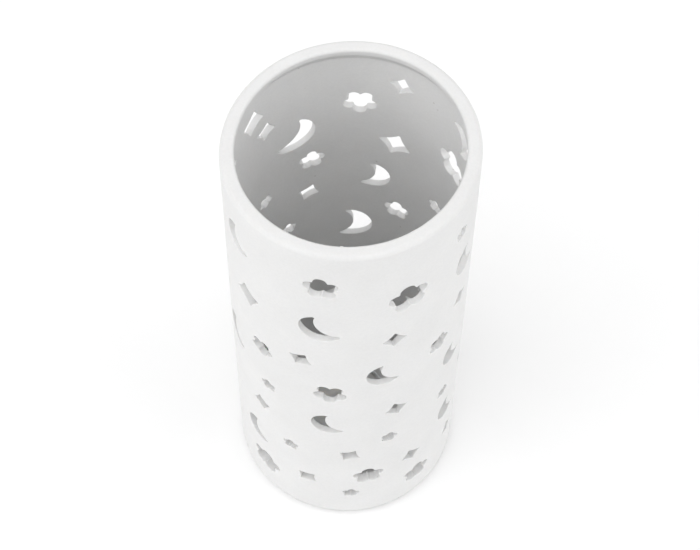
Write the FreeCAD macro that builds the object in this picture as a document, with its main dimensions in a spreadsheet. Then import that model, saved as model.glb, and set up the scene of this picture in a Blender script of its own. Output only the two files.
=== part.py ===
import FreeCAD, Part
import Sketcher
import os

# Pierced ceramic tealight holder: a tall open cylinder that stands on four small pads, with a
# tealight loose on its floor. Millimetres, +Z up, origin on the table under the holder's axis.
# Azimuth is measured in degrees round the axis: 0 at the front (-Y), 90 at the right (+X).

doc = FreeCAD.newDocument("tealight_holder")

# ---------------------------------------------------------------------------------------------
# Driving dimensions
# ---------------------------------------------------------------------------------------------

DIMENSIONS = {
    # ceramic shell
    "outer_radius": 50.0,
    "body_height": 228.5,
    "wall_thickness": 3.0,
    "floor_thickness": 4.0,
    "vent_radius": 11.5,
    "base_rounding": 2.5,
    # thickened rim: how wide its top is, how deep it is at full width and how deep its taper is
    "rim_width": 5.75,
    "rim_depth": 3.0,
    "rim_taper": 5.0,
    "rim_blend": 3.0,
    "rim_rounding_outer": 2.0,
    "rim_rounding_inner": 1.0,
    # thickened foot: how wide the wall is where it meets the floor, and how high it tapers
    "foot_width": 5.75,
    "foot_taper": 72.0,
    "floor_rounding": 3.0,
    "vent_rounding": 1.0,
    # cutters pushed radially through the wall: where they start and how long they are
    "cutter_start": 43.0,
    "cutter_length": 10.0,
    # reach of each cutter from its middle to its furthest point
    "moon_small": 8.0,
    "moon_medium": 8.9,
    "moon_large": 9.8,
    "blossom_small": 5.7,
    "blossom_medium": 7.0,
    "blossom_large": 8.6,
    "star_small": 3.8,
    "diamond_small": 5.0,
    "diamond_large": 6.8,
    # pads under the floor
    "pad_radius": 5.0,
    "pad_height": 1.5,
    "pad_rounding": 0.5,
    "pad_circle_radius": 36.0,
    # tealight
    "cup_base_radius": 18.4,
    "cup_mouth_radius": 19.0,
    "cup_lip_radius": 19.6,
    "cup_height": 16.0,
    "cup_wall": 0.4,
    "cup_lip_height": 1.0,
    "cup_base_rounding": 1.0,
    "wax_depth": 12.5,
    "wax_dish": 0.8,
    "wax_gap": 0.1,
    "sustainer_radius": 6.0,
    "sustainer_sheet": 0.3,
    "neck_radius": 1.3,
    "neck_height": 3.0,
    "wick_radius": 0.75,
    "wick_gap": 0.05,
    "wick_height": 18.0,
}

sheet = doc.addObject("Spreadsheet::Sheet", "dims")
for row, (alias, value) in enumerate(DIMENSIONS.items(), start=1):
    sheet.set("A%d" % row, alias)
    sheet.set("B%d" % row, str(value))
    sheet.setAlias("B%d" % row, alias)
doc.recompute()

# ---------------------------------------------------------------------------------------------
# Helpers
# ---------------------------------------------------------------------------------------------

HORIZONTAL_AXIS = -1
VERTICAL_AXIS = -2
START_POINT = 1
END_POINT = 2
CENTRE_POINT = 3


def value_of(expression):
    """The number that an expression over the sheet gives now."""
    return float(sheet.evalExpression(expression))


def linked(expression):
    """The same expression, written for an object outside the sheet."""
    words = expression.split(" ")
    return " ".join("dims." + word if word in DIMENSIONS else word for word in words)


def new_body(label):
    body = doc.addObject("PartDesign::Body", label)
    body.Label = label
    return body


def new_sketch(body, name, role):
    sketch = body.newObject("Sketcher::SketchObject", name)
    plane = [f for f in body.Origin.OriginFeatures if f.Role == role][0]
    sketch.AttachmentSupport = [(plane, "")]
    sketch.MapMode = "FlatFace"
    return sketch


def pin_point(sketch, geometry, point, across, along):
    """Hold one sketch point at distances from both sketch axes, each an expression or 0."""
    for kind, axis, expression in (
        ("DistanceX", VERTICAL_AXIS, across),
        ("DistanceY", HORIZONTAL_AXIS, along),
    ):
        if expression == "0":
            sketch.addConstraint(Sketcher.Constraint("PointOnObject", geometry, point, axis))
        else:
            constraint = Sketcher.Constraint(kind, geometry, point, value_of(expression))
            index = sketch.addConstraint(constraint)
            sketch.setExpression("Constraints[%d]" % index, linked(expression))


def draw_outline(sketch, corners):
    """Closed run of straight lines; each corner is a pair of expressions."""
    points = [FreeCAD.Vector(value_of(across), value_of(along), 0) for across, along in corners]
    count = len(points)
    for i in range(count):
        sketch.addGeometry(Part.LineSegment(points[i], points[(i + 1) % count]), False)
    for i in range(count):
        following = (i + 1) % count
        sketch.addConstraint(Sketcher.Constraint("Coincident", i, END_POINT, following, START_POINT))
    for i, (across, along) in enumerate(corners):
        pin_point(sketch, i, START_POINT, across, along)


def draw_circle(sketch, across, along, radius):
    centre = FreeCAD.Vector(value_of(across), value_of(along), 0)
    circle = Part.Circle(centre, FreeCAD.Vector(0, 0, 1), value_of(radius))
    geometry = sketch.addGeometry(circle, False)
    pin_point(sketch, geometry, CENTRE_POINT, across, along)
    index = sketch.addConstraint(Sketcher.Constraint("Radius", geometry, value_of(radius)))
    sketch.setExpression("Constraints[%d]" % index, linked(radius))


def revolve(body, name, corners):
    sketch = new_sketch(body, name + "_profile", "XZ_Plane")
    draw_outline(sketch, corners)
    revolution = body.newObject("PartDesign::Revolution", name + "_revolution")
    revolution.Profile = sketch
    revolution.ReferenceAxis = (sketch, ["V_Axis"])
    revolution.Angle = 360
    doc.recompute()
    return revolution


def pad_circle(body, name, across, along, radius, length):
    sketch = new_sketch(body, name + "_sketch", "XY_Plane")
    draw_circle(sketch, across, along, radius)
    pad = body.newObject("PartDesign::Pad", name + "_pad")
    pad.Profile = sketch
    pad.setExpression("Length", linked(length))
    doc.recompute()
    return pad


def pocket_circle(body, name, across, along, radius, length):
    """Cut upwards from the XY plane, the way the pads grow, and check that it took material."""
    before = body.Shape.Volume
    sketch = new_sketch(body, name + "_sketch", "XY_Plane")
    draw_circle(sketch, across, along, radius)
    pocket = body.newObject("PartDesign::Pocket", name + "_pocket")
    pocket.Profile = sketch
    pocket.setExpression("Length", linked(length))
    pocket.Reversed = True
    doc.recompute()
    if body.Shape.Volume > before - 1.0:
        raise RuntimeError(body.Label + ": " + name + " cuts nothing")
    return pocket


def repeat_round(body, name, feature, count):
    pattern = body.newObject("PartDesign::PolarPattern", name)
    pattern.Originals = [feature]
    pattern.Axis = (feature.Profile[0], ["N_Axis"])
    pattern.Angle = 360
    pattern.Occurrences = count
    body.Tip = pattern
    doc.recompute()
    return pattern


def round_edges(body, name, base, rings, radius):
    """Fillet the circular edges that lie at the given (radius, height) pairs of expressions."""
    wanted = [(value_of(ring_radius), value_of(height)) for ring_radius, height in rings]
    names = []
    for number, edge in enumerate(base.Shape.Edges, start=1):
        if not isinstance(edge.Curve, Part.Circle):
            continue
        for ring_radius, height in wanted:
            same_radius = abs(edge.Curve.Radius - ring_radius) < 0.01
            if same_radius and abs(edge.Curve.Center.z - height) < 0.01:
                names.append("Edge%d" % number)
    if len(names) != len(wanted):
        raise RuntimeError(body.Label + ": " + name + " found %d edges" % len(names))
    fillet = body.newObject("PartDesign::Fillet", name)
    fillet.Base = (base, names)
    fillet.setExpression("Radius", linked(radius))
    doc.recompute()
    return fillet


def lift(item, height):
    item.setExpression("Placement.Base.z", linked(height))


# ---------------------------------------------------------------------------------------------
# Cutters for the cut-outs. Each stands on its XY plane, with +Y up the wall and +Z outwards.
# ---------------------------------------------------------------------------------------------


def moon_cutter(size):
    """Crescent: a disc with a slightly larger disc taken out of its right-hand side."""
    body = new_body("cutter_" + size)
    pad_circle(body, size + "_disc", "0", "0", size, "cutter_length")
    bite_centre = "0.9 * " + size
    bite_radius = "1.05 * " + size
    pocket_circle(body, size + "_bite", bite_centre, "0", bite_radius, "cutter_length")
    return body


def blossom_cutter(size):
    """Five round petals with notches between them, closed by a disc in the middle."""
    body = new_body("cutter_" + size)
    petal = pad_circle(
        body, size + "_petal", "0", "0.65 * " + size, "0.35 * " + size, "cutter_length"
    )
    repeat_round(body, size + "_petals", petal, 5)
    pad_circle(body, size + "_heart", "0", "0", "0.66 * " + size, "cutter_length")
    return body


def diamond_cutter(size):
    """Square on its corner whose four sides are hollowed by large circles."""
    body = new_body("cutter_" + size)
    sketch = new_sketch(body, size + "_square_sketch", "XY_Plane")
    draw_outline(sketch, [(size, "0"), ("0", size), ("-1 * " + size, "0"), ("0", "-1 * " + size)])
    square = body.newObject("PartDesign::Pad", size + "_square_pad")
    square.Profile = sketch
    square.setExpression("Length", linked("cutter_length"))
    doc.recompute()
    hollow_centre = "1.928 * " + size
    side = pocket_circle(
        body, size + "_side", hollow_centre, hollow_centre, "2.14 * " + size, "cutter_length"
    )
    repeat_round(body, size + "_sides", side, 4)
    return body


cutters = {
    "moon_small": moon_cutter("moon_small"),
    "moon_medium": moon_cutter("moon_medium"),
    "moon_large": moon_cutter("moon_large"),
    "blossom_small": blossom_cutter("blossom_small"),
    "blossom_medium": blossom_cutter("blossom_medium"),
    "blossom_large": blossom_cutter("blossom_large"),
    "star_small": blossom_cutter("star_small"),
    "diamond_small": diamond_cutter("diamond_small"),
    "diamond_large": diamond_cutter("diamond_large"),
}

# Where each cut-out sits: azimuth in degrees, height of its middle above the shell's base in
# millimetres, and how far it is turned anticlockwise, in degrees, seen from outside.
CUT_OUTS = {
    "moon_small": [
        (-57, 205, 30), (18.5, 134, 28), (64, 111, 28), (-8, 92, 27), (-51, 50, 28),
        (115, 204, -26), (169, 139.5, 15), (100, 82, 30), (110, 25, 34), (138, 56, 26),
        (186, 48, 28), (228, 90, 27), (276, 68, 28), (272, 168, 24),
    ],
    "moon_medium": [
        (-12, 174, 38), (-67, 120, 26), (66, 58, 28), (97, 136, 30), (224, 30, 30),
    ],
    "moon_large": [
        (70, 181, 30), (210.5, 176, 38), (180, 100, 8),
    ],
    "blossom_small": [
        (-44, 135, -29), (49, 135, -19), (200.5, 153.5, 0), (154.5, 117.5, 0), (204, 82, 30),
        (262, 200, 30),
    ],
    "blossom_medium": [
        (-12, 205, 5), (-8, 120, 36), (12, 39, 3), (41, 21, -6), (176, 191, 36),
        (126, 84, 4), (88, 38, -6), (158, 30, 2), (248, 126, -5), (262, 26, 6),
    ],
    "blossom_large": [
        (28, 190.5, 8), (-47, 23, -11), (120, 180.5, -4),
    ],
    "star_small": [
        (60, 207, 0), (-41, 105, 11), (57, 81, -28), (22, 74, -14), (-29, 60, 0),
        (3, 22, -5), (130.5, 139, 0), (230, 141.5, 30), (215, 107, 0), (94, 172, 10),
        (112, 54, 0), (160, 68, 8), (222, 62, 12), (266, 142, 5), (280, 210, 0),
    ],
    "diamond_small": [
        (22, 161, 0), (65, 153, 10), (-22, 145, -24), (25, 99, 12), (-47, 82, 15),
        (2, 62, -31), (36, 44, 14), (-20, 33, -39), (68, 30, 10), (155.5, 207, 10),
        (202.5, 129.5, 25), (227.5, 191.5, 12), (84, 208, 20), (79, 84, -15), (134, 22, 10),
        (182, 75, -28), (252, 160, 18), (250, 66, -20), (270, 98, 15),
    ],
    "diamond_large": [
        (-52, 169, 14), (157.5, 166, 15), (237, 205.5, 14), (124, 114, 12), (182, 20, 14),
    ],
}


def wall_placement(azimuth, height, turn):
    """Cutter's place: on the wall at this azimuth and height, facing outwards."""
    facing = FreeCAD.Rotation(FreeCAD.Vector(0, 0, 1), azimuth)
    upright = FreeCAD.Rotation(FreeCAD.Vector(1, 0, 0), 90)
    turned = FreeCAD.Rotation(FreeCAD.Vector(0, 0, 1), turn)
    outwards = facing.multVec(FreeCAD.Vector(0, -1, 0))
    position = outwards * value_of("cutter_start") + FreeCAD.Vector(0, 0, height)
    return FreeCAD.Placement(position, facing * upright * turned)


placed_cutters = []
for size, places in CUT_OUTS.items():
    for azimuth, height, turn in places:
        link = doc.addObject("App::Link", "cut_%s_%d" % (size, len(placed_cutters)))
        link.LinkedObject = cutters[size]
        link.Placement = wall_placement(azimuth, height, turn)
        placed_cutters.append(link)

all_cutters = doc.addObject("Part::Compound", "all_cutters")
all_cutters.Links = placed_cutters

# ---------------------------------------------------------------------------------------------
# Ceramic shell: wall, rim, thicker foot and floor in one, then pierced
# ---------------------------------------------------------------------------------------------

shell = new_body("plain_shell")
inner_radius = "outer_radius - wall_thickness"
rim_inner_radius = "outer_radius - rim_width"
rim_underside = "body_height - rim_depth"
rim_foot = "body_height - rim_depth - rim_taper"
foot_inner_radius = "outer_radius - foot_width"
foot_top = "floor_thickness + foot_taper"
shell_turned = revolve(shell, "shell", [
    ("vent_radius", "0"),
    ("outer_radius", "0"),
    ("outer_radius", "body_height"),
    (rim_inner_radius, "body_height"),
    (rim_inner_radius, rim_underside),
    (inner_radius, rim_foot),
    (inner_radius, foot_top),
    (foot_inner_radius, "floor_thickness"),
    ("vent_radius", "floor_thickness"),
])
ROUNDED_RINGS = [
    ("base_round", [("outer_radius", "0")], "base_rounding"),
    ("rim_round_outer", [("outer_radius", "body_height")], "rim_rounding_outer"),
    ("rim_round_inner", [(rim_inner_radius, "body_height")], "rim_rounding_inner"),
    ("rim_blend_high", [(rim_inner_radius, rim_underside)], "rim_blend"),
    ("rim_blend_low", [(inner_radius, rim_foot)], "rim_blend"),
    ("floor_round", [(foot_inner_radius, "floor_thickness")], "floor_rounding"),
    ("vent_round", [("vent_radius", "0"), ("vent_radius", "floor_thickness")], "vent_rounding"),
]
rounded = shell_turned
for name, rings, radius in ROUNDED_RINGS:
    rounded = round_edges(shell, name, rounded, rings, radius)

lantern_body = doc.addObject("Part::Cut", "lantern_body")
lantern_body.Label = "lantern_body"
lantern_body.Base = shell
lantern_body.Tool = all_cutters
lift(lantern_body, "pad_height")

# ---------------------------------------------------------------------------------------------
# Pads under the floor
# ---------------------------------------------------------------------------------------------

PAD_COUNT = 4
foot_pads = []
for i in range(PAD_COUNT):
    label = "foot_pad_%d" % (i + 1)
    pad_body = new_body(label)
    disc = pad_circle(pad_body, label, "0", "0", "pad_radius", "pad_height")
    round_edges(pad_body, label + "_round", disc, [("pad_radius", "0")], "pad_rounding")
    angle = (i + 0.5) * 360.0 / PAD_COUNT
    pad_body.setExpression("Placement.Base.x", "dims.pad_circle_radius * cos(%g deg)" % angle)
    pad_body.setExpression("Placement.Base.y", "dims.pad_circle_radius * sin(%g deg)" % angle)
    foot_pads.append(pad_body)

# ---------------------------------------------------------------------------------------------
# Tealight, loose on the floor over the vent
# ---------------------------------------------------------------------------------------------

FLOOR_TOP = "pad_height + floor_thickness"
CUP_INSIDE = FLOOR_TOP + " + cup_wall"

# thin drawn cup, slightly wider at its mouth, with an outturned lip
tealight_cup = new_body("tealight_cup")
lip_underside = "cup_height - cup_lip_height"
cup_turned = revolve(tealight_cup, "cup", [
    ("0", "0"),
    ("cup_base_radius", "0"),
    ("cup_mouth_radius", lip_underside),
    ("cup_lip_radius", lip_underside),
    ("cup_lip_radius", "cup_height"),
    ("cup_mouth_radius - cup_wall", "cup_height"),
    ("cup_base_radius - cup_wall", "cup_wall"),
    ("0", "cup_wall"),
])
round_edges(
    tealight_cup, "cup_base_round", cup_turned, [("cup_base_radius", "0")], "cup_base_rounding"
)
lift(tealight_cup, FLOOR_TOP)

# wax fill, dished towards the wick, hollow underneath for the sustainer and its neck
tealight_wax = new_body("tealight_wax")
recess_radius = "sustainer_radius + wax_gap"
recess_height = "sustainer_sheet + wax_gap"
neck_bore = "neck_radius + wax_gap"
neck_top = "neck_height + wax_gap"
wick_bore = "wick_radius + wick_gap"
wax_edge = "cup_base_radius - cup_wall - wax_gap"
revolve(tealight_wax, "wax", [
    (recess_radius, "0"),
    (wax_edge, "0"),
    (wax_edge, "wax_depth"),
    (wick_bore, "wax_depth - wax_dish"),
    (wick_bore, neck_top),
    (neck_bore, neck_top),
    (neck_bore, recess_height),
    (recess_radius, recess_height),
])
lift(tealight_wax, CUP_INSIDE)

# pressed disc with a neck that grips the wick
wick_sustainer = new_body("wick_sustainer")
revolve(wick_sustainer, "sustainer", [
    (wick_bore, "0"),
    ("sustainer_radius", "0"),
    ("sustainer_radius", "sustainer_sheet"),
    ("neck_radius", "sustainer_sheet"),
    ("neck_radius", "neck_height"),
    (wick_bore, "neck_height"),
])
lift(wick_sustainer, CUP_INSIDE)

tealight_wick = doc.addObject("Part::Cylinder", "tealight_wick")
tealight_wick.Label = "tealight_wick"
tealight_wick.setExpression("Radius", linked("wick_radius"))
tealight_wick.setExpression("Height", linked("wick_height"))
lift(tealight_wick, CUP_INSIDE)

# ---------------------------------------------------------------------------------------------
# Check and write
# ---------------------------------------------------------------------------------------------

doc.recompute()
for item in doc.Objects:
    if "Invalid" in item.State or "Error" in item.State:
        raise RuntimeError(item.Label + ": " + ", ".join(item.State))

sub_parts = [lantern_body] + foot_pads
sub_parts += [tealight_cup, tealight_wax, wick_sustainer, tealight_wick]
os.makedirs("parts", exist_ok=True)
for item in sub_parts:
    if item.Shape.isNull() or not item.Shape.isValid():
        raise RuntimeError(item.Label + ": no valid shape")
    if len(item.Shape.Solids) != 1:
        raise RuntimeError(item.Label + ": not one solid")

for item in sub_parts:
    item.Shape.exportStep("parts/%s.step" % item.Label)
    print("%-16s %10.1f mm3" % (item.Label, item.Shape.Volume))
print("cut-outs:", len(placed_cutters))
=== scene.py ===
import math

import bmesh
import bpy
import numpy as np
from mathutils import Matrix, Vector
from mathutils.geometry import delaunay_2d_cdt


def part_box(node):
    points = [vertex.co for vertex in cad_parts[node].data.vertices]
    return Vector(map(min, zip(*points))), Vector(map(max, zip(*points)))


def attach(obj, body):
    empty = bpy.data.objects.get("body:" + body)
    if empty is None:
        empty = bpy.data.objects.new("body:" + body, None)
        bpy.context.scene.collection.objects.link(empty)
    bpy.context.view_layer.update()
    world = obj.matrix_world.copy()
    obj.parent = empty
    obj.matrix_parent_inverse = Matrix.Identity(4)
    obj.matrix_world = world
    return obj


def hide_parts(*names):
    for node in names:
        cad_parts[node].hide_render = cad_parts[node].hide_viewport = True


# A pierced white ceramic tealight holder with a tealight loose on its floor. Metres, +Z up.
# Azimuth is measured in degrees round the axis: 0 at the front (-Y), 90 at the right (+X).

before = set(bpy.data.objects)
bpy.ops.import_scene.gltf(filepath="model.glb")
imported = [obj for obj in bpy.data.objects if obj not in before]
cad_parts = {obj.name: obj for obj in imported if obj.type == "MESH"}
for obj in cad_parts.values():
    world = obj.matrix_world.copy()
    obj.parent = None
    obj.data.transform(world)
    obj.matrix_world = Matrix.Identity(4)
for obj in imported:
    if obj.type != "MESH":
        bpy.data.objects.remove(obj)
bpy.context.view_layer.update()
scene = bpy.context.scene

MM = 0.001

# ---------------------------------------------------------------------------------------------
# Sizes
# ---------------------------------------------------------------------------------------------

shell_low, shell_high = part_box("lantern_body")
BASE = shell_low.z
TOP = shell_high.z
HEIGHT = TOP - BASE
# the fired shell is a little out of round, so its mean radius leaves room in the frame's box
MEAN_RADIUS = (shell_high.x - shell_low.x) / 2 * 0.995
WALL = 3.0 * MM
RIM_WIDTH = 5.75 * MM
RIM_DEPTH = 3.0 * MM
RIM_TAPER = 5.0 * MM
FOOT_WIDTH = 5.75 * MM
FOOT_TAPER = 72.0 * MM
INNER_RADIUS = MEAN_RADIUS - WALL
RIM_INNER_RADIUS = MEAN_RADIUS - RIM_WIDTH
FLOOR_TOP = BASE + 4.0 * MM
VENT_RADIUS = 11.5 * MM
BASE_ROUND = 2.5 * MM
RIM_ROUND_OUTER = 2.2 * MM
RIM_ROUND_INNER = 1.2 * MM
RIM_BLEND = 3.0 * MM
FLOOR_ROUND = 3.0 * MM
VENT_ROUND = 1.0 * MM
ARRIS_ROUND = 0.4 * MM

COLUMNS = 144
OUTLINE_STEP = 0.8 * MM

CUTTER_REACH = {
    "moon_small": 8.0, "moon_medium": 8.9, "moon_large": 9.8,
    "blossom_small": 5.7, "blossom_medium": 7.0, "blossom_large": 8.6,
    "star_small": 3.8,
    "diamond_small": 5.0, "diamond_large": 6.8,
}

# azimuth in degrees, height of the middle above the shell's base in millimetres, and the turn
# anticlockwise in degrees, seen from outside
CUT_OUTS = {
    "moon_small": [
        (-57, 205, 30), (18.5, 134, 28), (64, 111, 28), (-8, 92, 27), (-51, 50, 28),
        (115, 204, -26), (169, 139.5, 15), (100, 82, 30), (110, 25, 34), (138, 56, 26),
        (186, 48, 28), (228, 90, 27), (276, 68, 28), (272, 168, 24),
    ],
    "moon_medium": [
        (-12, 174, 38), (-67, 120, 26), (66, 58, 28), (97, 136, 30), (224, 30, 30),
    ],
    "moon_large": [
        (70, 181, 30), (210.5, 176, 38), (180, 100, 8),
    ],
    "blossom_small": [
        (-44, 135, -29), (49, 135, -19), (200.5, 153.5, 0), (154.5, 117.5, 0), (204, 82, 30),
        (262, 200, 30),
    ],
    "blossom_medium": [
        (-12, 205, 5), (-8, 120, 36), (12, 39, 3), (41, 21, -6), (176, 191, 36),
        (126, 84, 4), (88, 38, -6), (158, 30, 2), (248, 126, -5), (262, 26, 6),
    ],
    "blossom_large": [
        (28, 190.5, 8), (-47, 23, -11), (120, 180.5, -4),
    ],
    "star_small": [
        (60, 207, 0), (-41, 105, 11), (57, 81, -28), (22, 74, -14), (-29, 60, 0),
        (3, 22, -5), (130.5, 139, 0), (230, 141.5, 30), (215, 107, 0), (94, 172, 10),
        (112, 54, 0), (160, 68, 8), (222, 62, 12), (266, 142, 5), (280, 210, 0),
    ],
    "diamond_small": [
        (22, 161, 0), (65, 153, 10), (-22, 145, -24), (25, 99, 12), (-47, 82, 15),
        (2, 62, -31), (36, 44, 14), (-20, 33, -39), (68, 30, 10), (155.5, 207, 10),
        (202.5, 129.5, 25), (227.5, 191.5, 12), (84, 208, 20), (79, 84, -15), (134, 22, 10),
        (182, 75, -28), (252, 160, 18), (250, 66, -20), (270, 98, 15),
    ],
    "diamond_large": [
        (-52, 169, 14), (157.5, 166, 15), (237, 205.5, 14), (124, 114, 12), (182, 20, 14),
    ],
}

# ---------------------------------------------------------------------------------------------
# Outlines of the cut-outs: closed chains of arcs that meet tangentially. Each arc is
# (centre, radius, start angle, end angle, side), where side is 1 for an arc of the hole itself
# and -1 for an arc of clay that bulges into the hole. Growing the hole by a distance changes
# every radius by it and leaves the centres and angles alone.
# ---------------------------------------------------------------------------------------------


def turned(point, angle):
    return complex(point[0], point[1]) * complex(math.cos(angle), math.sin(angle))


def moon_arcs(reach):
    bite = 1.05 * reach
    offset = 0.9 * reach
    tip = 0.06 * reach
    tip_x = ((reach - tip) ** 2 - (bite + tip) ** 2 + offset ** 2) / (2 * offset)
    tip_y = math.sqrt((reach - tip) ** 2 - tip_x ** 2)
    horn = math.atan2(tip_y, tip_x)
    to_bite = math.atan2(tip_y, offset - tip_x)
    return [
        (complex(0, 0), reach, horn, 2 * math.pi - horn, 1),
        (complex(tip_x, -tip_y), tip, -horn, to_bite, 1),
        (complex(offset, 0), bite, to_bite - math.pi, -math.pi - to_bite, -1),
        (complex(tip_x, tip_y), tip, -to_bite, horn, 1),
    ]


def blossom_arcs(reach):
    petals = 5
    petal = 0.38 * reach
    petal_at = reach - petal
    notch = 0.085 * reach
    half = math.pi / petals
    gap = petal_at * math.sin(half)
    notch_at = petal_at * math.cos(half) + math.sqrt((petal + notch) ** 2 - gap ** 2)
    to_notch = math.atan2(notch_at * math.sin(half), notch_at * math.cos(half) - petal_at)
    arcs = []
    for k in range(petals):
        angle = math.pi / 2 + 2 * half * k
        middle = turned((petal_at, 0), angle)
        arcs.append((middle, petal, angle - to_notch, angle + to_notch, 1))
        between = turned((notch_at, 0), angle + half)
        start = angle + to_notch + math.pi
        end = angle + 2 * half - to_notch + math.pi
        arcs.append((between, notch, start, end, -1))
    return arcs


def diamond_arcs(reach):
    corners = 4
    side_at, side, tip = 1.928, 2.14, 0.07
    tip_at = side_at - math.sqrt((side + tip) ** 2 - side_at ** 2)
    scale = reach / (tip_at + tip)
    to_side = math.atan2(side_at, side_at - tip_at)
    quarter = math.pi / 2
    arcs = []
    for k in range(corners):
        angle = quarter * k
        arcs.append((turned((tip_at, 0), angle) * scale, tip * scale,
                     angle - to_side, angle + to_side, 1))
        start = angle + to_side + math.pi
        end = angle + quarter - to_side + math.pi
        arcs.append((turned((side_at, side_at), angle) * scale, side * scale, start, end, -1))
    return arcs


ARCS = {"moon": moon_arcs, "blossom": blossom_arcs, "star": blossom_arcs, "diamond": diamond_arcs}
FINEST_TURN = math.radians(24)


class Outline:
    """One cut-out's outline: where its points are at any growth, and which way they face."""

    def __init__(self, kind, reach, turn):
        points, facing, side, radius = [], [], [], []
        for centre, arc_radius, start, end, arc_side in ARCS[kind](reach):
            length = abs(end - start) * arc_radius
            steps = max(2, math.ceil(length / OUTLINE_STEP), math.ceil(abs(end - start) / FINEST_TURN))
            for i in range(steps):
                angle = start + (end - start) * i / steps
                points.append(centre)
                facing.append(complex(math.cos(angle), math.sin(angle)))
                side.append(arc_side)
                radius.append(arc_radius)
        spin = complex(math.cos(turn), math.sin(turn))
        self.centres = np.array(points) * spin
        self.rays = np.array(facing) * spin
        self.side = np.array(side)
        self.radius = np.array(radius)
        smallest_notch = min([r for r, s in zip(radius, side) if s < 0])
        self.arris = min(ARRIS_ROUND, 0.9 * smallest_notch)

    def at(self, growth):
        return self.centres + self.rays * (self.radius + self.side * growth)

    def normals(self):
        """Away from the hole, into the clay."""
        return self.rays * self.side


# ---------------------------------------------------------------------------------------------
# Mesh building
# ---------------------------------------------------------------------------------------------


class Skin:
    """Points with their normals, and the faces between them."""

    def __init__(self):
        self.points, self.normals, self.faces = [], [], []

    def add(self, points, normals):
        first = len(self.points)
        self.points.extend(np.asarray(points, float).reshape(-1, 3).tolist())
        self.normals.extend(np.asarray(normals, float).reshape(-1, 3).tolist())
        return np.arange(first, len(self.points))

    def band(self, ring_a, ring_b):
        """Quads between two closed rings of the same count."""
        for i in range(len(ring_a)):
            j = (i + 1) % len(ring_a)
            self.faces.append((int(ring_a[i]), int(ring_a[j]), int(ring_b[j]), int(ring_b[i])))

    def build(self, name, warp=None):
        """Make the object, with each face turned to agree with its points' normals."""
        points = np.array(self.points)
        normals = np.array(self.normals)
        normals /= np.linalg.norm(normals, axis=1)[:, None]
        if warp is not None:
            points, normals = warp(points, normals)
        faces = []
        for face in self.faces:
            corner = [points[v] for v in face[:3]]
            across = np.cross(corner[1] - corner[0], corner[2] - corner[0])
            if len(face) == 4:
                across = np.cross(corner[2] - corner[0], points[face[3]] - corner[1])
            facing = sum(normals[v] for v in face)
            faces.append(face if across @ facing > 0 else face[::-1])
        mesh = bpy.data.meshes.new(name)
        mesh.from_pydata(points.tolist(), [], faces)
        mesh.polygons.foreach_set("use_smooth", [True] * len(mesh.polygons))
        mesh.update()
        mesh.normals_split_custom_set_from_vertices(normals.tolist())
        piece = bpy.data.objects.new(name, mesh)
        scene.collection.objects.link(piece)
        return piece


def arc_profile(centre, radius, start, end, steps, side=1):
    """Points (r, z) and normals along an arc in the half-plane through the axis."""
    profile = []
    for i in range(steps + 1):
        angle = math.radians(start + (end - start) * i / steps)
        ray = (math.cos(angle), math.sin(angle))
        point = (centre[0] + radius * ray[0], centre[1] + radius * ray[1])
        profile.append((point, (ray[0] * side, ray[1] * side)))
    return profile


def turned_ring(skin, point, normal, count):
    """The ring that one profile point (r, z) makes round the axis."""
    azimuths = np.arange(count) * 2 * math.pi / count
    outwards = np.stack([np.sin(azimuths), -np.cos(azimuths), np.zeros(count)], 1)
    up = np.array([0.0, 0.0, 1.0])
    return skin.add(outwards * point[0] + up * point[1], outwards * normal[0] + up * normal[1])


def turned_skin(skin, profile, count):
    """Sweep a profile round the axis; gives its first and last ring."""
    rings = [turned_ring(skin, point, normal, count) for point, normal in profile]
    for ring_a, ring_b in zip(rings, rings[1:]):
        skin.band(ring_a, ring_b)
    return rings[0], rings[-1]


# ---------------------------------------------------------------------------------------------
# Pierced wall
# ---------------------------------------------------------------------------------------------


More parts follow.
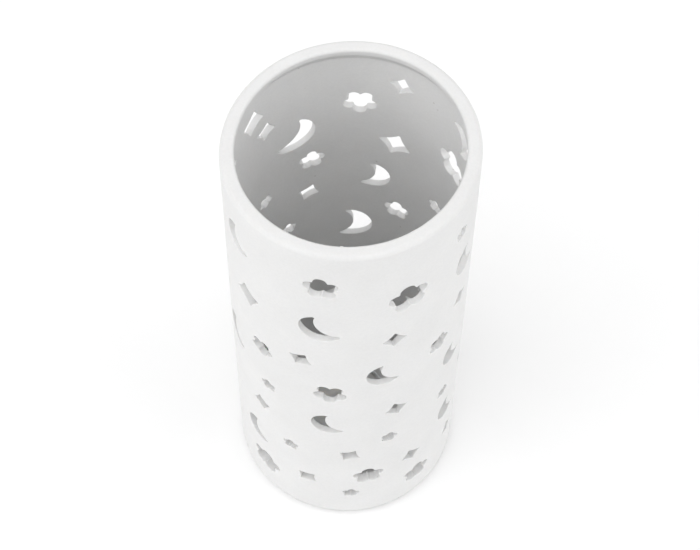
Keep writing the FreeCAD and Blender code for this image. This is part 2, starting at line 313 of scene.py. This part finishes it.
class Hole:
    """One cut-out pushed straight through the wall along the radius at its azimuth."""

    def __init__(self, size, azimuth, height, turn):
        reach = CUTTER_REACH[size] * MM
        self.outline = Outline(size.split("_")[0], reach, math.radians(turn))
        self.azimuth = math.radians(azimuth)
        self.height = BASE + height * MM
        self.reach = reach
        self.outwards = np.array([math.sin(self.azimuth), -math.cos(self.azimuth), 0.0])
        self.across = np.array([math.cos(self.azimuth), math.sin(self.azimuth), 0.0])
        self.up = np.array([0.0, 0.0, 1.0])

    def unrolled(self, radius, growth):
        """Azimuth and height of the outline on a cylinder of this radius."""
        flat = self.outline.at(growth)
        return np.stack([self.azimuth + np.arcsin(flat.real / radius), self.height + flat.imag], 1)

    def ring(self, skin, radius, growth, depth, lean, facing):
        """One ring of the cut. depth is measured outwards from the cylinder of this radius; lean
        turns the normal from the wall's own face (0) into the hole (a right angle)."""
        flat = self.outline.at(growth)
        reach_out = np.sqrt(radius ** 2 - flat.real ** 2)
        points = (self.outwards * (reach_out + depth)[:, None]
                  + self.across * flat.real[:, None] + self.up * (self.height + flat.imag)[:, None])
        face = self.outwards * (reach_out / radius)[:, None] + self.across * (flat.real / radius)[:, None]
        inwards = self.outline.normals()
        clay = self.across * inwards.real[:, None] + self.up * inwards.imag[:, None]
        return skin.add(points, face * facing * math.cos(lean) - clay * math.sin(lean))

    def cut(self, skin):
        """The cut's rounded arrises and its wall; gives its outermost and innermost ring."""
        steps = 3
        arris = self.outline.arris
        rings = []
        for i in range(steps + 1):
            lean = math.pi / 2 * i / steps
            growth = arris * (1 - math.sin(lean))
            depth = -arris * (1 - math.cos(lean))
            rings.append(self.ring(skin, MEAN_RADIUS, growth, depth, lean, 1))
        for i in reversed(range(steps + 1)):
            lean = math.pi / 2 * i / steps
            growth = arris * (1 - math.sin(lean))
            depth = arris * (1 - math.cos(lean))
            rings.append(self.ring(skin, INNER_RADIUS, growth, depth, lean, -1))
        for ring_a, ring_b in zip(rings, rings[1:]):
            skin.band(ring_a, ring_b)
        return rings[0], rings[-1]


def inside_polygon(points, corners):
    """Which of the points lie inside a closed polygon, by counting crossings."""
    inside = np.zeros(len(points), bool)
    following = np.roll(corners, -1, axis=0)
    for (x0, y0), (x1, y1) in zip(corners, following):
        if y0 == y1:
            continue
        crosses = (y0 > points[:, 1]) != (y1 > points[:, 1])
        at = x0 + (points[:, 1] - y0) * (x1 - x0) / (y1 - y0)
        inside ^= crosses & (points[:, 0] < at)
    return inside


def nearest_turn(azimuths, azimuth):
    """The azimuths moved by whole turns to within half a turn of the given one."""
    return azimuth + (azimuths - azimuth + math.pi) % (2 * math.pi) - math.pi


GRID_MARGIN = 1.3 * MM


def loop_edges(first, count):
    """Edges of a closed loop of points that follow each other."""
    return [(first + i, first + (i + 1) % count) for i in range(count)]


def even_grid(columns, radius, low, high):
    """Azimuths and heights of staggered rows that make nearly equal triangles."""
    spacing = 2 * math.pi / columns
    rows = round((high - low) / (spacing * radius * math.sqrt(3) / 2))
    grid = []
    for row in range(1, rows):
        height = low + (high - low) * row / rows
        shift = 0.5 * (row % 2)
        grid += [[(i + shift) * spacing, height] for i in range(columns)]
    return np.array(grid)


def in_the_way(grid, hole, outline, radius):
    """Which grid points are inside a hole or too close to its outline."""
    azimuths = nearest_turn(grid[:, 0], hole.azimuth)
    near = np.hypot((azimuths - hole.azimuth) * radius, grid[:, 1] - hole.height)
    close = np.where(near < hole.reach + 2 * GRID_MARGIN)[0]
    flat = np.stack([azimuths[close] * radius, grid[close, 1]], 1)
    corners = outline * [radius, 1]
    gaps = np.linalg.norm(flat[:, None] - corners[None], axis=2).min(1)
    return close[(gaps < GRID_MARGIN) | inside_polygon(flat, corners)]


def triangulate(places, edges, radius, low):
    """Triangles between places on a cylinder that keep to the edges. The unrolled wall is laid
    out as a flat annulus that keeps its angles, so it has no seam."""
    spread = np.exp((places[:, 1] - low) / radius)
    flat = [Vector((s * math.cos(a), s * math.sin(a))) for s, a in zip(spread, places[:, 0])]
    result = delaunay_2d_cdt(flat, edges, [], 0, 1e-7, True)
    origin = np.array([ids[0] if ids else -1 for ids in result[3]])
    triangles = origin[np.array(result[2])]
    if triangles.min() < 0:
        raise RuntimeError("two outlines cross")
    return triangles


def over_holes(corners, holes, outlines, radius):
    """Which triangles have their middle inside a hole."""
    azimuths = nearest_turn(corners[:, :, 0], corners[:, :1, 0])
    middle = np.stack([azimuths.mean(1), corners[:, :, 1].mean(1)], 1)
    over = np.zeros(len(corners), bool)
    for hole, outline in zip(holes, outlines):
        flat = np.stack([nearest_turn(middle[:, 0], hole.azimuth) * radius, middle[:, 1]], 1)
        close = np.abs(flat - [hole.azimuth * radius, hole.height]).max(1) < hole.reach * 1.2
        chosen = np.where(close)[0]
        over[chosen[inside_polygon(flat[chosen], outline * [radius, 1])]] = True
    return over


def pierced_face(skin, radius, facing, low_ring, high_ring, low, high, holes, hole_rings):
    """Fill a cylinder's face between two rings and round the holes with even triangles."""
    columns = len(low_ring)
    spacing = 2 * math.pi / columns
    places = [[i * spacing, low] for i in range(columns)] + [[i * spacing, high] for i in range(columns)]
    owners = list(low_ring) + list(high_ring)
    edges = loop_edges(0, columns) + loop_edges(columns, columns)
    grid = even_grid(columns, radius, low, high)
    keep = np.ones(len(grid), bool)
    outlines = [hole.unrolled(radius, hole.outline.arris) for hole in holes]
    for hole, outline, ring in zip(holes, outlines, hole_rings):
        edges += loop_edges(len(places), len(ring))
        places += outline.tolist()
        owners += list(ring)
        keep[in_the_way(grid, hole, outline, radius)] = False
    grid = grid[keep]
    outwards = np.stack([np.sin(grid[:, 0]), -np.cos(grid[:, 0]), 0 * grid[:, 0]], 1)
    points = outwards * radius + np.stack([0 * grid[:, 1], 0 * grid[:, 1], grid[:, 1]], 1)
    owners += list(skin.add(points, outwards * facing))
    places = np.array(places + grid.tolist())

    triangles = triangulate(places, edges, radius, low)
    # triangles on the low ring alone fill the annulus's empty middle
    in_middle = (triangles < columns).all(1)
    drop = in_middle | over_holes(places[triangles], holes, outlines, radius)
    owners = np.array(owners)
    skin.faces += [tuple(int(v) for v in owners[t]) for t in triangles[~drop]]


# ---------------------------------------------------------------------------------------------
# Departures from a plain tube: the wall thickens inwards towards the floor. The fired shell is
# slightly oval towards its mouth and swells a little between its ends, with slow ripples left
# by the mould
# ---------------------------------------------------------------------------------------------

# inside this radius the floor is left as it is
FOOT_FROM = 15.0 * MM
OVAL = 0.016
OVAL_AZIMUTH = math.radians(144.5)
SWELL = 0.005
RIPPLES = [
    # amplitude, waves round, waves up the height, phase
    (0.0010, 3, 0.7, 0.4),
    (0.0006, 5, 1.9, 2.1),
    (0.0004, 8, 3.1, 4.0),
    (0.0003, 13, 5.3, 1.2),
]


def foot_growth(points):
    """The share of its radius that each point moves in by, low down where the wall is thicker."""
    radius = np.maximum(np.hypot(points[:, 0], points[:, 1]), MM)
    in_floor = (radius - FOOT_FROM) / (INNER_RADIUS - FOOT_FROM)
    in_wall = (MEAN_RADIUS - radius) / WALL
    share = np.clip(np.minimum(in_floor, in_wall), 0, 1)
    taper = np.clip((FLOOR_TOP + FOOT_TAPER - points[:, 2]) / FOOT_TAPER, 0, 1)
    above_base = np.clip((points[:, 2] - BASE - BASE_ROUND) / (FLOOR_TOP - BASE - BASE_ROUND), 0, 1)
    return (FOOT_WIDTH - WALL) * share * taper * above_base / radius


def out_of_round(points):
    """The factor on each point's radius that turns the plain tube into the fired shell."""
    azimuth = np.arctan2(points[:, 0], -points[:, 1])
    rise = np.clip((points[:, 2] - BASE) / HEIGHT, 0, 1)
    scale = 1 + SWELL * 4 * rise * (1 - rise)
    scale += OVAL * rise * np.cos(2 * (azimuth - OVAL_AZIMUTH))
    for amplitude, around, upwards, phase in RIPPLES:
        scale += amplitude * np.sin(around * azimuth + 2 * math.pi * upwards * rise + phase)
    return scale - foot_growth(points)


def warp_shell(points, normals):
    """Move the points by out_of_round and turn their normals to suit its slopes."""
    step = 0.01 * MM
    scale = out_of_round(points)
    slopes = []
    for axis in range(3):
        nudge = np.zeros(3)
        nudge[axis] = step
        slopes.append((out_of_round(points + nudge) - out_of_round(points - nudge)) / (2 * step))
    slope = np.stack(slopes, 1)
    level = points * [1, 1, 0]
    change = level[:, :, None] * slope[:, None, :]
    change[:, 0, 0] += scale
    change[:, 1, 1] += scale
    change[:, 2, 2] += 1
    moved = np.linalg.solve(np.transpose(change, (0, 2, 1)), normals[:, :, None])[:, :, 0]
    moved /= np.linalg.norm(moved, axis=1)[:, None]
    return level * scale[:, None] + points * [0, 0, 1], moved


FLOOR_RINGS = [34, 27, 20, 15]
UNDERSIDE_RINGS = [20, 30, 40]


def make_shell():
    skin = Skin()
    holes = [Hole(size, *place) for size, places in CUT_OUTS.items() for place in places]
    rings = [hole.cut(skin) for hole in holes]

    rim = arc_profile((MEAN_RADIUS - RIM_ROUND_OUTER, TOP - RIM_ROUND_OUTER), RIM_ROUND_OUTER, 0, 90, 6)
    rim += arc_profile(
        (RIM_INNER_RADIUS + RIM_ROUND_INNER, TOP - RIM_ROUND_INNER), RIM_ROUND_INNER, 90, 180, 5
    )
    # under the rim the wall falls back to its own thickness in a short slope, blended at both ends
    lean = math.atan2(RIM_WIDTH - WALL, RIM_TAPER)
    run_out = RIM_BLEND * math.tan(lean / 2)
    slope = math.degrees(lean)
    slope_top = TOP - RIM_DEPTH + run_out
    slope_foot = TOP - RIM_DEPTH - RIM_TAPER - run_out
    rim += arc_profile((RIM_INNER_RADIUS + RIM_BLEND, slope_top), RIM_BLEND, 180, 180 + slope, 3)
    rim += arc_profile((INNER_RADIUS - RIM_BLEND, slope_foot), RIM_BLEND, slope, 0, 3, side=-1)
    outer_high, inner_high = turned_skin(skin, rim, COLUMNS)

    floor = arc_profile(
        (INNER_RADIUS - FLOOR_ROUND, FLOOR_TOP + FLOOR_ROUND), FLOOR_ROUND, 0, -90, 6, side=-1
    )
    floor += [((radius * MM, FLOOR_TOP), (0, 1)) for radius in FLOOR_RINGS]
    floor += arc_profile((VENT_RADIUS + VENT_ROUND, FLOOR_TOP - VENT_ROUND), VENT_ROUND, 90, 180, 4)
    floor += arc_profile((VENT_RADIUS + VENT_ROUND, BASE + VENT_ROUND), VENT_ROUND, 180, 270, 4)
    floor += [((radius * MM, BASE), (0, -1)) for radius in UNDERSIDE_RINGS]
    floor += arc_profile((MEAN_RADIUS - BASE_ROUND, BASE + BASE_ROUND), BASE_ROUND, 270, 360, 6)
    inner_low, outer_low = turned_skin(skin, floor, COLUMNS)

    pierced_face(
        skin, MEAN_RADIUS, 1, outer_low, outer_high, BASE + BASE_ROUND, TOP - RIM_ROUND_OUTER,
        holes, [ring[0] for ring in rings],
    )
    pierced_face(
        skin, INNER_RADIUS, -1, inner_low, inner_high, FLOOR_TOP + FLOOR_ROUND, slope_foot,
        holes, [ring[1] for ring in rings],
    )
    return skin.build("ceramic_shell", warp_shell)


# ---------------------------------------------------------------------------------------------
# Turned pieces: the tealight and the pads
# ---------------------------------------------------------------------------------------------


def rounded(corners, steps=4):
    """Corner list (radius, height, rounding) in millimetres as a smooth profile in metres."""
    profile = []
    for i, (across, along, size) in enumerate(corners):
        here = np.array([across, along])
        if size == 0 or i in (0, len(corners) - 1):
            profile.append(here)
            continue
        before = np.array(corners[i - 1][:2]) - here
        after = np.array(corners[i + 1][:2]) - here
        reach = min(size, 0.49 * np.linalg.norm(before), 0.49 * np.linalg.norm(after))
        start = here + before / np.linalg.norm(before) * reach
        end = here + after / np.linalg.norm(after) * reach
        for k in range(steps + 1):
            t = k / steps
            profile.append(start * (1 - t) ** 2 + here * 2 * t * (1 - t) + end * t ** 2)
    return [(float(p[0]) * MM, float(p[1]) * MM) for p in profile]


def mesh_piece(name, mesh_in_progress):
    bmesh.ops.recalc_face_normals(mesh_in_progress, faces=mesh_in_progress.faces)
    mesh = bpy.data.meshes.new(name)
    mesh_in_progress.to_mesh(mesh)
    mesh_in_progress.free()
    mesh.polygons.foreach_set("use_smooth", [True] * len(mesh.polygons))
    piece = bpy.data.objects.new(name, mesh)
    scene.collection.objects.link(piece)
    return piece


def join_rings(building, rings, closed):
    pairs = list(zip(rings, rings[1:]))
    if closed:
        pairs.append((rings[-1], rings[0]))
    for ring_a, ring_b in pairs:
        count = max(len(ring_a), len(ring_b))
        for i in range(count):
            j = (i + 1) % count
            around = [ring_a[i % len(ring_a)], ring_a[j % len(ring_a)],
                      ring_b[j % len(ring_b)], ring_b[i % len(ring_b)]]
            corners = list(dict.fromkeys(around))
            building.faces.new(corners)


def lathe(name, profile, middle, count, closed=False, shape=None):
    """Turn a profile of (radius, height) round the vertical through middle. shape gives the
    change in radius and height at an azimuth, radius and height."""
    building = bmesh.new()
    rings = []
    for radius, height in profile:
        if radius == 0:
            rings.append([building.verts.new((middle.x, middle.y, middle.z + height))])
            continue
        ring = []
        for i in range(count):
            azimuth = 2 * math.pi * i / count
            wider, higher = shape(azimuth, radius, height) if shape else (0, 0)
            reach = radius + wider
            place = (middle.x + reach * math.sin(azimuth), middle.y - reach * math.cos(azimuth),
                     middle.z + height + higher)
            ring.append(building.verts.new(place))
        rings.append(ring)
    join_rings(building, rings, closed)
    return mesh_piece(name, building)


def foot_of(node):
    """Middle of the underside of a node's box."""
    low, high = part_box(node)
    return Vector(((low.x + high.x) / 2, (low.y + high.y) / 2, low.z))


def make_cup():
    cup_height = 16 * MM
    side_from = 17.5 * MM
    profile = rounded([
        (0, 0.14, 0), (14.2, 0.14, 0.6), (15.0, 0, 0.6), (18.4, 0, 1.0), (18.55, 4.0, 2.0),
        (18.78, 10.0, 2.0), (18.98, 15.0, 0.2), (19.6, 15.05, 0.3), (19.6, 15.75, 0.3),
        (19.3, 16.0, 0.2), (18.62, 15.95, 0.3), (18.57, 15.0, 0.3), (18.15, 4.0, 2.0),
        (18.0, 0.4, 0.9), (0, 0.4, 0),
    ])

    def flutes(azimuth, radius, height):
        """Shallow creases that drawing the cup leaves, fading towards the lip."""
        if radius < side_from:
            return 0, 0
        rise = height / cup_height
        depth = 0.045 * MM * max(0, 1 - rise) * min(1, rise * 8)
        dent = 0.05 * MM * math.sin(3 * azimuth + 1.1) * rise * (1 - rise) * 4
        return depth * math.sin(72 * azimuth) - abs(depth) - abs(dent), 0

    return lathe("cup_shell", profile, foot_of("tealight_cup"), 288, shape=flutes)


def make_wax():
    top = 12.5
    surface_from = 10 * MM
    profile = rounded([
        (0.82, 0.5, 0), (1.5, 0.02, 0), (17.2, 0.02, 0.8), (17.75, 0.6, 0.8), (18.12, 8, 2),
        (18.36, top + 0.35, 0.1), (18.0, top + 0.1, 0.5), (17.0, top, 1.5), (10.0, top - 0.45, 4),
        (3.2, top - 0.75, 1.2), (1.7, top - 0.5, 0.6), (0.82, top - 0.1, 0),
    ], steps=5)

    def ripples(azimuth, radius, height):
        """The poured surface sets a little unevenly."""
        if height < surface_from:
            return 0, 0
        wave = math.sin(2 * azimuth + radius * 420) * 0.05 + math.sin(5 * azimuth - radius * 650) * 0.03
        return 0, wave * MM * min(1, radius / (6 * MM))

    return lathe("wax_fill", profile, foot_of("tealight_wax"), 144, closed=True, shape=ripples)


def make_sustainer():
    neck_from = 1.2 * MM
    bore = 1.0 * MM
    profile = rounded([
        (0.84, 0.1, 0), (0.95, 0, 0), (5.9, 0, 0.12), (6.0, 0.15, 0.1), (5.9, 0.3, 0.12),
        (4.2, 0.3, 0.1), (3.9, 0.42, 0.1), (3.3, 0.42, 0.1), (3.0, 0.3, 0.1),
        (1.9, 0.32, 0.4), (1.3, 1.1, 0.5), (1.28, 2.85, 0.12), (1.1, 3.0, 0.1), (0.84, 2.9, 0),
    ])

    def crimp(azimuth, radius, height):
        """The neck is pinched on two sides to hold the wick."""
        if height < neck_from:
            return 0, 0
        return -0.12 * MM * max(0, math.cos(2 * azimuth)) * (radius > bore), 0

    return lathe("tin_sustainer", profile, foot_of("wick_sustainer"), 96, closed=True, shape=crimp)


def make_wick():
    """Three cotton strands laid round each other, burnt to a soft point at the top."""
    foot = foot_of("tealight_wick")
    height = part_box("tealight_wick")[1].z - foot.z
    building = bmesh.new()
    steps, sides, strands = 150, 10, 3
    turns = 7.5
    lay_radius, strand_radius = 0.35 * MM, 0.37 * MM
    for strand in range(strands):
        rings = []
        for i in range(steps + 1):
            rise = i / steps
            angle = 2 * math.pi * (turns * rise + strand / strands)
            tip = min(1, (1 - rise) * 14) ** 0.5 if rise < 1 else 0.25
            offset = lay_radius * tip
            thick = strand_radius * (0.35 + 0.65 * tip)
            centre = Vector((offset * math.cos(angle), offset * math.sin(angle), 0))
            ring = []
            for k in range(sides):
                around = 2 * math.pi * k / sides
                fibre = 1 + 0.06 * math.sin(9 * around + 40 * rise + strand)
                side = Vector((math.cos(around), math.sin(around), 0)) * thick * fibre
                ring.append(building.verts.new(foot + centre + side + Vector((0, 0, height * rise))))
            rings.append(ring)
        join_rings(building, rings, False)
        building.faces.new(rings[0])
        building.faces.new(rings[-1])
    return mesh_piece("wick_braid", building)


def make_pad(index):
    profile = rounded([
        (0, 0.04, 0), (3.4, 0, 1.5), (4.35, 0.02, 0.5), (4.95, 0.75, 0.6), (5.0, 1.35, 0.1),
        (4.9, 1.5, 0.1), (0, 1.5, 0),
    ])
    return lathe("clear_pad_%d" % index, profile, foot_of("foot_pad_%d" % index), 72)


# ---------------------------------------------------------------------------------------------
# Materials
# ---------------------------------------------------------------------------------------------


class Shader:
    """A principled material and short ways to add nodes to it."""

    def __init__(self, name, **settings):
        self.material = bpy.data.materials.new(name)
        self.material.use_nodes = True
        self.tree = self.material.node_tree
        self.surface = self.tree.nodes["Principled BSDF"]
        for socket, value in settings.items():
            self.surface.inputs[socket.replace("_", " ")].default_value = value
        self.place = self.tree.nodes.new("ShaderNodeTexCoord").outputs["Object"]

    def node(self, kind, **inputs):
        node = self.tree.nodes.new(kind)
        for name, value in inputs.items():
            socket = node.inputs[name.replace("_", " ")]
            if isinstance(value, bpy.types.NodeSocket):
                self.tree.links.new(value, socket)
            else:
                socket.default_value = value
        return node

    def noise(self, scale, detail=2.0, roughness=0.5, vector=None):
        node = self.node("ShaderNodeTexNoise", Scale=scale, Detail=detail, Roughness=roughness)
        self.tree.links.new(vector or self.place, node.inputs["Vector"])
        return node.outputs["Fac"]

    def stretched(self, scale):
        return self.node("ShaderNodeMapping", Vector=self.place, Scale=scale).outputs["Vector"]

    def ramp(self, value, low, high, colours):
        """Blend between two colours as value goes from low to high."""
        node = self.tree.nodes.new("ShaderNodeValToRGB")
        self.tree.links.new(value, node.inputs["Fac"])
        for element, position, colour in zip(node.color_ramp.elements, (low, high), colours):
            element.position = position
            element.color = colour
        return node.outputs["Color"]

    def spread(self, value, low, high):
        """Map noise, which runs from about 0.3 to 0.7, to the given range."""
        node = self.node("ShaderNodeMapRange", Value=value)
        node.inputs["From Min"].default_value = 0.3
        node.inputs["From Max"].default_value = 0.7
        node.inputs["To Min"].default_value = low
        node.inputs["To Max"].default_value = high
        return node.outputs["Result"]

    def mix(self, factor, colour_a, colour_b, blend="MIX"):
        node = self.tree.nodes.new("ShaderNodeMix")
        node.data_type = "RGBA"
        node.blend_type = blend
        for index, value in ((0, factor), (6, colour_a), (7, colour_b)):
            if isinstance(value, bpy.types.NodeSocket):
                self.tree.links.new(value, node.inputs[index])
            else:
                node.inputs[index].default_value = value
        return node.outputs[2]

    def sum(self, *values):
        total = values[0]
        for value in values[1:]:
            node = self.tree.nodes.new("ShaderNodeMath")
            self.tree.links.new(total, node.inputs[0])
            self.tree.links.new(value, node.inputs[1])
            total = node.outputs[0]
        return total

    def times(self, value, factor):
        node = self.tree.nodes.new("ShaderNodeMath")
        node.operation = "MULTIPLY"
        self.tree.links.new(value, node.inputs[0])
        node.inputs[1].default_value = factor
        return node.outputs[0]

    def bump(self, height, distance, strength=1.0):
        node = self.node("ShaderNodeBump", Height=height, Distance=distance, Strength=strength)
        self.tree.links.new(node.outputs["Normal"], self.surface.inputs["Normal"])

    def set(self, socket, value):
        self.tree.links.new(value, self.surface.inputs[socket])


def bisque():
    """Matt white fired clay: faint cloudy mottling, fine grain, a few darker specks."""
    shader = Shader(
        "white_bisque", Specular_IOR_Level=0.35, Subsurface_Weight=0.08, Subsurface_Scale=0.002,
        Subsurface_Radius=(1.0, 0.9, 0.75),
    )
    cloud = shader.noise(38, detail=4, roughness=0.55)
    grain = shader.noise(900, detail=3, roughness=0.6)
    tone = shader.ramp(cloud, 0.32, 0.68, ((0.785, 0.784, 0.781, 1), (0.815, 0.814, 0.811, 1)))
    fine = shader.ramp(grain, 0.3, 0.7, ((0.965, 0.965, 0.965, 1), (1.0, 1.0, 1.0, 1)))
    grained = shader.mix(1.0, tone, fine, "MULTIPLY")
    cells = shader.node("ShaderNodeTexVoronoi", Vector=shader.place, Scale=130.0)
    cells.inputs["Randomness"].default_value = 1.0
    fleck = shader.ramp(cells.outputs["Distance"], 0.03, 0.07, ((1, 1, 1, 1), (0, 0, 0, 1)))
    rare = shader.ramp(shader.noise(60, detail=0), 0.6, 0.66, ((0, 0, 0, 1), (1, 1, 1, 1)))
    both = shader.mix(rare, (0, 0, 0, 1), fleck)
    shader.set("Base Color", shader.mix(both, grained, (0.58, 0.57, 0.55, 1)))
    shader.set("Roughness", shader.spread(shader.noise(220, detail=3), 0.58, 0.72))
    relief = shader.sum(
        shader.times(shader.noise(90, detail=3), 0.6),
        shader.times(shader.noise(520, detail=3), 0.25),
        shader.times(shader.noise(2200, detail=2), 0.10),
    )
    shader.bump(relief, 0.00035, 0.8)
    return shader.material


def aluminium():
    """Thin rolled aluminium foil: fine drawing lines up the side and a few dull patches."""
    shader = Shader("drawn_aluminium", Metallic=1.0)
    dull = shader.noise(120, detail=3)
    shader.set("Base Color", shader.ramp(dull, 0.3, 0.7, ((0.74, 0.75, 0.76, 1), (0.86, 0.865, 0.87, 1))))
    lines = shader.noise(3000, detail=2, vector=shader.stretched((1.0, 1.0, 0.04)))
    shader.set("Roughness", shader.spread(lines, 0.22, 0.42))
    shader.bump(shader.sum(shader.times(lines, 0.3), dull), 0.00008, 0.5)
    return shader.material


def candle_wax():
    """White paraffin: soft and translucent, with a faintly mottled skin."""
    shader = Shader(
        "paraffin_wax", Subsurface_Weight=0.6, Subsurface_Scale=0.006,
        Subsurface_Radius=(1.0, 0.85, 0.65), Specular_IOR_Level=0.45,
    )
    cloud = shader.noise(170, detail=4, roughness=0.6)
    shader.set("Base Color", shader.ramp(cloud, 0.3, 0.7, ((0.83, 0.81, 0.76, 1), (0.89, 0.88, 0.85, 1))))
    shader.set("Roughness", shader.spread(shader.noise(400, detail=2), 0.3, 0.5))
    shader.bump(cloud, 0.00025, 0.5)
    return shader.material


def tinplate():
    """Pressed tinplate: bright with a brushed grain and grey stains."""
    shader = Shader("pressed_tinplate", Metallic=1.0)
    stain = shader.noise(300, detail=4, roughness=0.6)
    shader.set("Base Color", shader.ramp(stain, 0.3, 0.7, ((0.52, 0.52, 0.51, 1), (0.70, 0.70, 0.69, 1))))
    grain = shader.noise(2500, detail=2, vector=shader.stretched((1.0, 0.06, 1.0)))
    shader.set("Roughness", shader.spread(grain, 0.25, 0.45))
    shader.bump(grain, 0.00004, 0.5)
    return shader.material


def cotton():
    """Waxed cotton wick: off-white fibres wound round the strand."""
    shader = Shader("waxed_cotton", Roughness=0.85, Sheen_Weight=0.2)
    fibres = shader.noise(5200, detail=3, vector=shader.stretched((1.0, 1.0, 0.35)))
    shader.set("Base Color", shader.ramp(fibres, 0.3, 0.7, ((0.66, 0.63, 0.56, 1), (0.85, 0.83, 0.78, 1))))
    shader.bump(fibres, 0.00012, 0.8)
    return shader.material


def clear_rubber():
    """Clear polyurethane pad: slightly milky, with fine dust on its skin."""
    shader = Shader("clear_polyurethane", Transmission_Weight=0.8, IOR=1.48)
    dust = shader.noise(900, detail=3)
    shader.set("Base Color", shader.ramp(dust, 0.3, 0.7, ((0.86, 0.87, 0.87, 1), (0.94, 0.95, 0.95, 1))))
    shader.set("Roughness", shader.spread(shader.noise(500, detail=2), 0.12, 0.3))
    shader.bump(dust, 0.00005, 0.5)
    return shader.material


# ---------------------------------------------------------------------------------------------
# Stage, light and camera
# ---------------------------------------------------------------------------------------------


FLOOR_HALF_WIDTH = 8.0


def make_floor():
    skin = Skin()
    half = FLOOR_HALF_WIDTH
    corners = [(-half, -half, 0), (half, -half, 0), (half, half, 0), (-half, half, 0)]
    points = skin.add(corners, [(0, 0, 1)] * 4)
    skin.faces.append(tuple(int(v) for v in points))
    floor = skin.build("studio_floor")
    shader = Shader("floor_paper", Base_Color=(0.96, 0.96, 0.96, 1), Roughness=0.9)
    shader.surface.inputs["Specular IOR Level"].default_value = 0.1
    shader.bump(shader.noise(700, detail=3), 0.0001, 0.3)
    floor.data.materials.append(shader.material)


SOFTBOX_SPREAD = math.radians(80)


def softbox(name, azimuth, elevation, strength):
    """A broad, even light from one direction."""
    light = bpy.data.lights.new(name, "SUN")
    light.energy = strength
    light.angle = SOFTBOX_SPREAD
    lamp = bpy.data.objects.new(name, light)
    scene.collection.objects.link(lamp)
    turn, rise = math.radians(azimuth), math.radians(elevation)
    towards = Vector((math.sin(turn) * math.cos(rise), -math.cos(turn) * math.cos(rise), math.sin(rise)))
    lamp.rotation_euler = towards.to_track_quat("Z", "Y").to_euler()


def make_light():
    world = bpy.data.worlds.new("studio")
    scene.world = world
    world.use_nodes = True
    background = world.node_tree.nodes["Background"]
    background.inputs["Color"].default_value = (1, 1, 1, 1)
    background.inputs["Strength"].default_value = 0.1
    softbox("softbox_left", -90, 20, 0.9)
    softbox("softbox_right", 90, 20, 1.35)
    softbox("softbox_left_front", -45, 45, 1.1)
    softbox("softbox_right_front", 45, 45, 0.3)
    softbox("softbox_front", 0, 60, 0.9)
    softbox("softbox_back", 180, 45, 0.8)
    scene.view_settings.view_transform = "Standard"


# distances in shell radii, angles in degrees, focal length in millimetres
CAMERA_BACK = 7.95
CAMERA_UP = 16.10
CAMERA_DOWN_TILT = 59.37
CAMERA_PAN = 0.07
CAMERA_ROLL = 1.08
FOCAL_LENGTH = 95.4


def make_camera():
    camera = bpy.data.objects.new("camera", bpy.data.cameras.new("camera"))
    scene.collection.objects.link(camera)
    camera.data.lens = FOCAL_LENGTH
    camera.data.sensor_width = 36
    camera.data.clip_start = 0.05
    tilt, pan, roll = (math.radians(a) for a in (CAMERA_DOWN_TILT, CAMERA_PAN, CAMERA_ROLL))
    forward = Vector((math.sin(pan) * math.cos(tilt), math.cos(pan) * math.cos(tilt), -math.sin(tilt)))
    level = forward.cross(Vector((0, 0, 1))).normalized()
    upright = level.cross(forward)
    right = level * math.cos(roll) + upright * math.sin(roll)
    up = upright * math.cos(roll) - level * math.sin(roll)
    turn = Matrix((right, up, -forward)).transposed().to_4x4()
    place = Vector((0, -CAMERA_BACK * MEAN_RADIUS, BASE + CAMERA_UP * MEAN_RADIUS))
    camera.matrix_world = Matrix.Translation(place) @ turn
    scene.camera = camera


def finish_piece(piece, node, body, material):
    """Give a new piece its material and let it stand for its CAD node."""
    piece.data.materials.append(material)
    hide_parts(node)
    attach(piece, body)


finish_piece(make_shell(), "lantern_body", "holder", bisque())
finish_piece(make_cup(), "tealight_cup", "tealight", aluminium())
finish_piece(make_wax(), "tealight_wax", "tealight", candle_wax())
finish_piece(make_sustainer(), "wick_sustainer", "tealight", tinplate())
finish_piece(make_wick(), "tealight_wick", "tealight", cotton())
pad_rubber = clear_rubber()
for number in range(1, 5):
    finish_piece(make_pad(number), "foot_pad_%d" % number, "holder", pad_rubber)
make_floor()
make_light()
make_camera()
